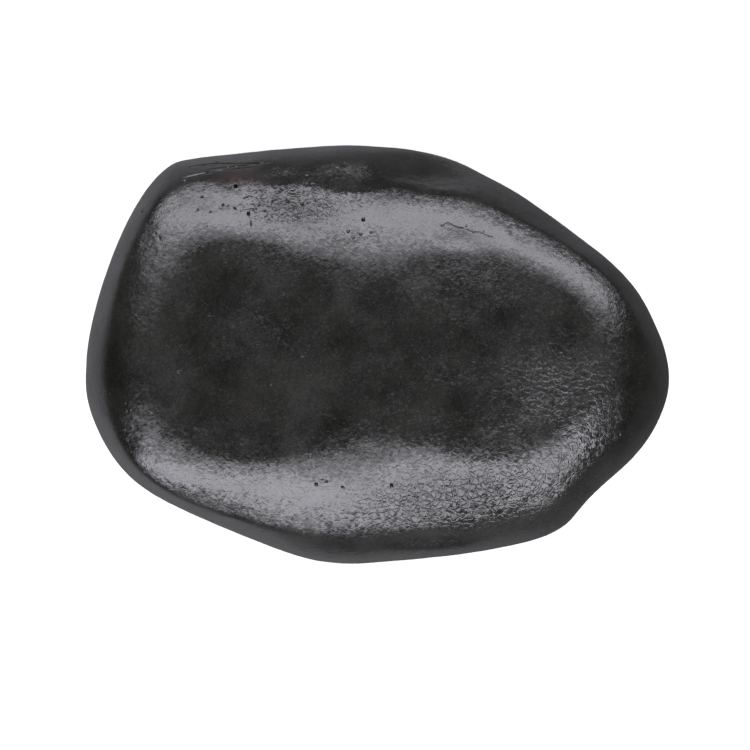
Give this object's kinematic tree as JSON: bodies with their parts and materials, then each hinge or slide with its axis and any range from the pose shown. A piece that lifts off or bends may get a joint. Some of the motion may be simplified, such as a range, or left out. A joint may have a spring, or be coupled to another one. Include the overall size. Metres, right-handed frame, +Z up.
{
  "type": "massage stone",
  "caption": "Flat-bottomed, polished dark basalt pebble for hot stone massage, hand sized, with a broad crown, a soft shoulder ridge and one blunt tip.",
  "frame": {"origin": "on the resting plane, under the middle of the stone's outline", "axes": "+X along the stone towards its blunt tip, +Y across it towards the side with the scooped flank, +Z up from the foot through the crown"},
  "size_m": [0.088, 0.063, 0.028],
  "materials": {
    "polished_basalt": "satin"
  },
  "bodies": {
    "root": {"basalt_stone": "polished_basalt"}
  },
  "joints": []
}
